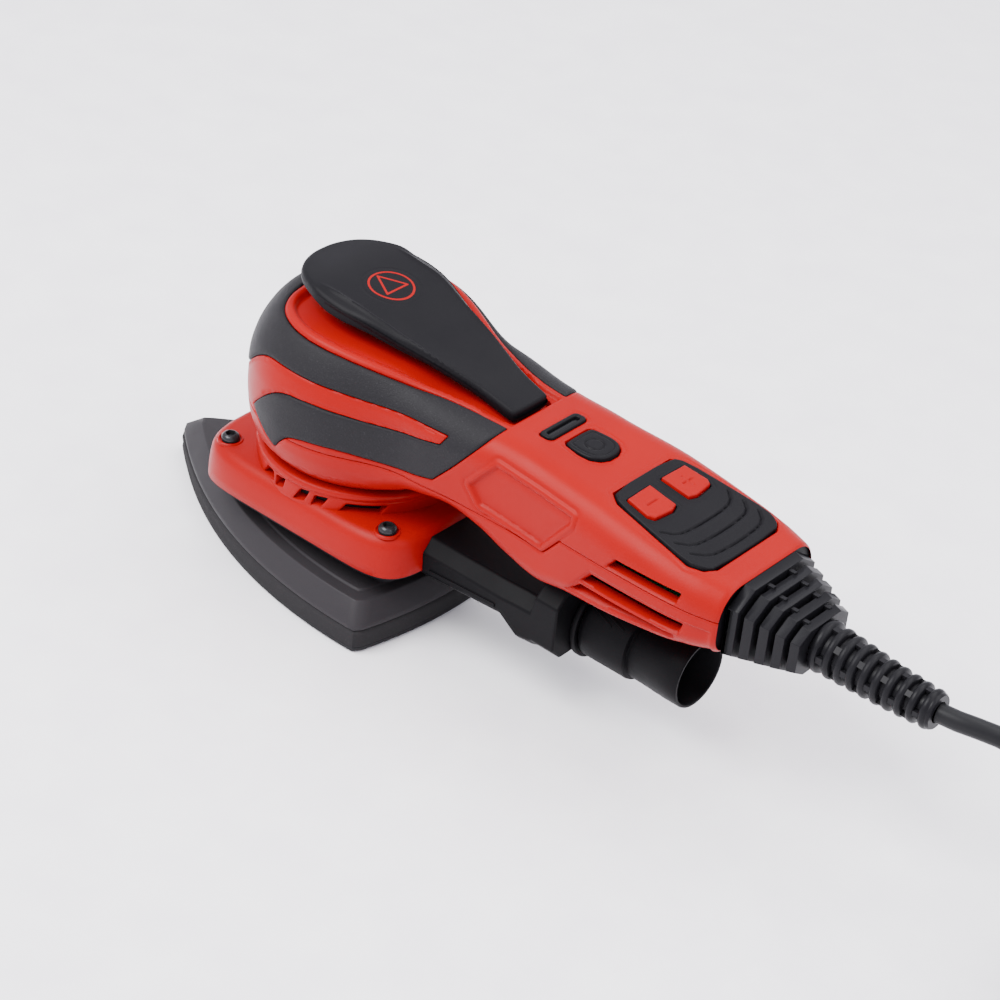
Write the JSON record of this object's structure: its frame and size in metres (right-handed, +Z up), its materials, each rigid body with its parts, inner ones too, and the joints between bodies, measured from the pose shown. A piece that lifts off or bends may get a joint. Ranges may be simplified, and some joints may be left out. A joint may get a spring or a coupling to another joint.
{
  "type": "delta detail sander",
  "caption": "Hand-held electric detail sander with a pointed delta pad, orbiting drive, paddle lever, key panel, dust spout and mains cord.",
  "frame": {"origin": "centre of the pad's sole plane, on the motor axis", "axes": "+X forwards to the pad's tip, +Y to the tool's left side, +Z up along the motor axis, away from the work"},
  "size_m": [0.5282, 0.1053, 0.1238],
  "materials": {
    "red_shell": "semi-gloss red moulding",
    "red_keys": "satin red keys",
    "black_plastic": "fine textured black moulding",
    "black_rubber": "matte soft rubber",
    "pad_foam": "dense foam",
    "hook_fabric": "hook fabric",
    "dark_screws": "black oxide",
    "steel": "ground steel",
    "aluminium": "die-cast",
    "copper": "enamelled copper wire",
    "board": "solder mask",
    "grey_plastic": "satin",
    "lens": "diffusing lens"
  },
  "bodies": {
    "housing": {"housing_upper": "red_shell", "housing_lower": "red_shell", "grip_cover": "black_rubber", "skirt": "red_shell", "skirt_seal": "black_rubber", "skirt_screw_1": "dark_screws", "skirt_screw_2": "dark_screws", "skirt_screw_3": "dark_screws", "skirt_screw_4": "dark_screws", "rubber_leg_1": "black_rubber", "rubber_leg_2": "black_rubber", "rubber_leg_3": "black_rubber", "rubber_leg_4": "black_rubber", "motor_stator": "steel", "winding_lower": "copper", "winding_upper": "copper", "motor_base": "aluminium", "lower_bearing": "steel", "upper_bearing": "steel", "bearing_cap": "grey_plastic", "lever_pin": "steel", "lever_switch": "black_plastic", "power_switch": "black_plastic", "main_board": "board", "button_board": "board", "capacitor": "grey_plastic", "terminal_block": "grey_plastic", "control_panel": "black_plastic", "lamp_frame": "black_plastic", "lamp_lens": "lens", "case_screw_1": "dark_screws", "case_screw_2": "dark_screws", "case_screw_3": "dark_screws", "case_screw_4": "dark_screws", "dust_duct": "black_plastic", "spout_ring": "black_plastic", "cord_guard": "black_rubber", "cord": "black_rubber", "cord_tail": "black_rubber", "cord_coil": "black_rubber", "plug_body": "black_rubber", "plug_pin_1": "steel", "plug_pin_2": "steel"},
    "lever": {"paddle_lever": "black_plastic"},
    "power_key": {"power_button": "black_plastic"},
    "plus_key": {"plus_button": "red_keys"},
    "minus_key": {"minus_button": "red_keys"},
    "rotor": {"motor_shaft": "steel", "counterweight": "steel", "cooling_fan": "grey_plastic", "rotor_magnets": "steel"},
    "pad": {"pad_backing": "black_plastic", "pad_foam": "pad_foam", "hook_layer": "hook_fabric", "pad_bearing": "steel"},
    "spout": {"dust_spout": "black_plastic"}
  },
  "joints": [
    {"name": "rotor_spin", "type": "hinge", "parent": "housing", "child": "rotor", "pos_m": [0, 0, 0.05], "axis": [0, 0, 1], "continuous": true},
    {"name": "pad_orbit", "type": "hinge", "parent": "rotor", "child": "pad", "pos_m": [0.0015, 0, 0.02], "axis": [0, 0, 1], "continuous": true},
    {"name": "lever_press", "type": "hinge", "parent": "housing", "child": "lever", "pos_m": [-0.071, 0, 0.096], "axis": [0, 1, 0], "range_deg": [0, 2.5], "stiffness_Nm_per_rad": 1.5, "springref_deg": -2.86},
    {"name": "power_press", "type": "slide", "parent": "housing", "child": "power_key", "axis": [0, 0, -1], "range_m": [0, 0.001], "stiffness_N_per_m": 800, "springref_m": -0.0005},
    {"name": "plus_press", "type": "slide", "parent": "housing", "child": "plus_key", "axis": [0.1488, 0, -0.9889], "range_m": [0, 0.0008], "stiffness_N_per_m": 800, "springref_m": -0.0005},
    {"name": "minus_press", "type": "slide", "parent": "housing", "child": "minus_key", "axis": [0.1488, 0, -0.9889], "range_m": [0, 0.0008], "stiffness_N_per_m": 800, "springref_m": -0.0005},
    {"name": "spout_twist", "type": "hinge", "parent": "housing", "child": "spout", "pos_m": [-0.1185, 0, 0.033], "axis": [1, 0, 0], "range_deg": [0, 40]}
  ],
  "couplings": [
    {"joint": "pad_orbit", "follows": "rotor_spin", "ratio": -1}
  ]
}
